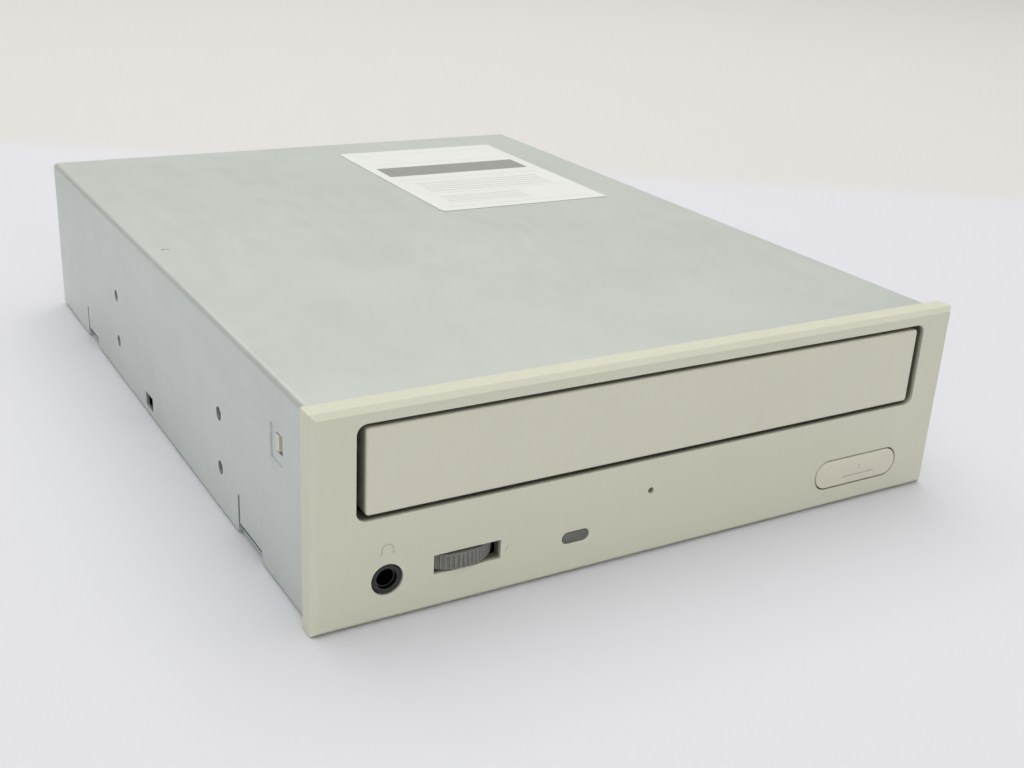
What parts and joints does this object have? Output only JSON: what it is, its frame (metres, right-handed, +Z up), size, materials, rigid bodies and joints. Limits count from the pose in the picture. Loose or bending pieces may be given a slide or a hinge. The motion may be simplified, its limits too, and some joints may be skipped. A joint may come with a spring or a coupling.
{
  "type": "cd-rom drive",
  "caption": "Half-height internal optical disc drive with a motor-driven tray, headphone socket, volume wheel, activity lamp and eject button in a folded steel case.",
  "frame": {"origin": "centre of the four bottom mounting screw holes, on the underside", "axes": "+X right seen from the front, +Y from the bezel to the rear connectors, +Z up"},
  "size_m": [0.1484, 0.1956, 0.0423],
  "materials": {
    "cover_steel": "zinc-plated, satin",
    "base_steel": "zinc-plated, satin",
    "bezel_plastic": "fine matt texture, cream",
    "tray_front_plastic": "fine matt texture, cream",
    "button_plastic": "fine matt texture, cream",
    "tray_plastic": "satin black",
    "wheel_plastic": "grey, ribbed",
    "jack_plastic": "black",
    "lamp_window": "smoked",
    "lamp_body": "clear",
    "switch_plastic": "black",
    "plunger_plastic": "ivory",
    "board_laminate": "solder mask, green",
    "chip_plastic": "moulded black",
    "capacitor_sleeve": "blue sleeve",
    "socket_black": "black",
    "socket_ivory": "ivory",
    "jumper_blue": "blue",
    "pin_gold": "gold flash",
    "ribbon_film": "flat cable film",
    "chassis_plastic": "moulded dark grey",
    "clamp_steel": "plated",
    "puck_plastic": "white",
    "magnet_metal": "nickel",
    "motor_steel": "plated",
    "pulley_brass": "turned",
    "belt_rubber": "matt",
    "gear_plastic": "acetal, off-white",
    "slider_plastic": "acetal, ivory",
    "frame_plastic": "moulded grey",
    "damper_rubber": "soft",
    "base_plate": "plated",
    "turntable_plastic": "black",
    "pad_rubber": "matt",
    "rod_steel": "ground",
    "sled_metal": "die-cast, grey",
    "pickup_black": "black",
    "lens_glass": "coated",
    "screw_steel": "zinc-plated",
    "label_paper": "printed label"
  },
  "bodies": {
    "drive": {"top_cover": "cover_steel", "bottom_cover": "base_steel", "front_bezel": "bezel_plastic", "headphone_jack": "jack_plastic", "status_lamp_lens": "lamp_window", "status_lamp": "lamp_body", "eject_switch": "switch_plastic", "volume_pot": "switch_plastic", "main_circuit_board": "board_laminate", "board_chips": "chip_plastic", "board_capacitors": "capacitor_sleeve", "data_connector": "socket_black", "audio_connector": "socket_black", "jumper_block": "socket_black", "power_connector": "socket_ivory", "digital_connector": "socket_ivory", "jumper_cap": "jumper_blue", "connector_pins": "pin_gold", "ribbon_cable": "ribbon_film", "loading_chassis": "chassis_plastic", "clamp_bridge": "clamp_steel", "loading_motor": "motor_steel", "drive_belt": "belt_rubber", "bridge_screws": "screw_steel", "cover_screws": "screw_steel", "label_sticker": "label_paper"},
    "tray": {"disc_tray": "tray_plastic", "tray_front_panel": "tray_front_plastic"},
    "drive_gear": {"drive_gear": "gear_plastic"},
    "pulley_gear": {"pulley_gear": "gear_plastic"},
    "motor_pulley": {"motor_pulley": "pulley_brass"},
    "cam_slider": {"cam_slider": "slider_plastic"},
    "traverse": {"traverse_frame": "frame_plastic", "isolation_dampers": "damper_rubber", "damper_screws": "screw_steel", "pickup_base": "base_plate", "spindle_motor": "motor_steel", "guide_rods": "rod_steel", "sled_motor": "motor_steel"},
    "spindle": {"turntable": "turntable_plastic", "turntable_pad": "pad_rubber"},
    "clamp": {"clamp_puck": "puck_plastic", "clamp_magnet": "magnet_metal"},
    "pickup": {"pickup_sled": "sled_metal", "actuator_cover": "pickup_black", "sled_rack": "gear_plastic"},
    "lens": {"lens_holder": "pickup_black", "objective_lens": "lens_glass"},
    "sled_gear": {"sled_gear": "gear_plastic"},
    "sled_pinion": {"sled_pinion": "pulley_brass"},
    "eject_button": {"eject_button": "button_plastic", "eject_plunger": "plunger_plastic"},
    "volume_wheel": {"volume_wheel": "wheel_plastic"}
  },
  "joints": [
    {"name": "tray_slide", "type": "slide", "parent": "drive", "child": "tray", "axis": [0, -1, 0], "range_m": [0, 0.137]},
    {"name": "drive_gear_spin", "type": "hinge", "parent": "drive", "child": "drive_gear", "pos_m": [0.046, -0.06502, 0.022], "axis": [0, 0, 1], "range_deg": [-790, 5]},
    {"name": "pulley_gear_spin", "type": "hinge", "parent": "drive", "child": "pulley_gear", "pos_m": [0.0252, -0.06502, 0.018], "axis": [0, 0, 1], "range_deg": [-5, 2630]},
    {"name": "motor_pulley_spin", "type": "hinge", "parent": "drive", "child": "motor_pulley", "pos_m": [-0.008, -0.06502, 0.0175], "axis": [0, 0, 1], "range_deg": [-5, 7760]},
    {"name": "cam_slide", "type": "slide", "parent": "drive", "child": "cam_slider", "axis": [1, 0, 0], "range_m": [0, 0.014]},
    {"name": "traverse_tilt", "type": "hinge", "parent": "drive", "child": "traverse", "pos_m": [0, 0.07297, 0.0162], "axis": [1, 0, 0], "range_deg": [0, 3.3]},
    {"name": "spindle_spin", "type": "hinge", "parent": "traverse", "child": "spindle", "pos_m": [0, -0.01503, 0.028], "axis": [0, 0, 1], "continuous": true},
    {"name": "clamp_spin", "type": "hinge", "parent": "drive", "child": "clamp", "pos_m": [0, -0.01503, 0.035], "axis": [0, 0, 1], "continuous": true},
    {"name": "sled_slide", "type": "slide", "parent": "traverse", "child": "pickup", "axis": [0, 1, 0], "range_m": [0, 0.034]},
    {"name": "sled_gear_spin", "type": "hinge", "parent": "traverse", "child": "sled_gear", "pos_m": [0.041, 0.00898, 0.023], "axis": [0, 0, 1], "range_deg": [-410, 5]},
    {"name": "sled_pinion_spin", "type": "hinge", "parent": "traverse", "child": "sled_pinion", "pos_m": [0.041, -0.00402, 0.023], "axis": [0, 0, 1], "range_deg": [-5, 1370]},
    {"name": "lens_focus", "type": "slide", "parent": "pickup", "child": "lens", "axis": [0, 0, 1], "range_m": [-0.0007, 0.0007], "stiffness_N_per_m": 120, "springref_m": 0.00002},
    {"name": "eject_press", "type": "slide", "parent": "drive", "child": "eject_button", "axis": [0, 1, 0], "range_m": [0, 0.0012], "stiffness_N_per_m": 500, "springref_m": -0.0006},
    {"name": "volume_turn", "type": "hinge", "parent": "drive", "child": "volume_wheel", "pos_m": [-0.0449, -0.08363, 0.009], "axis": [0, 0, 1], "range_deg": [-135, 135]}
  ],
  "couplings": [
    {"joint": "drive_gear_spin", "follows": "tray_slide", "rad_per_m": -100},
    {"joint": "pulley_gear_spin", "follows": "tray_slide", "rad_per_m": 333.33},
    {"joint": "motor_pulley_spin", "follows": "tray_slide", "rad_per_m": 981.48},
    {"joint": "traverse_tilt", "follows": "cam_slide", "rad_per_m": 4.1139},
    {"joint": "clamp_spin", "follows": "spindle_spin", "ratio": 1},
    {"joint": "sled_gear_spin", "follows": "sled_slide", "rad_per_m": -208.33},
    {"joint": "sled_pinion_spin", "follows": "sled_slide", "rad_per_m": 694.44}
  ]
}
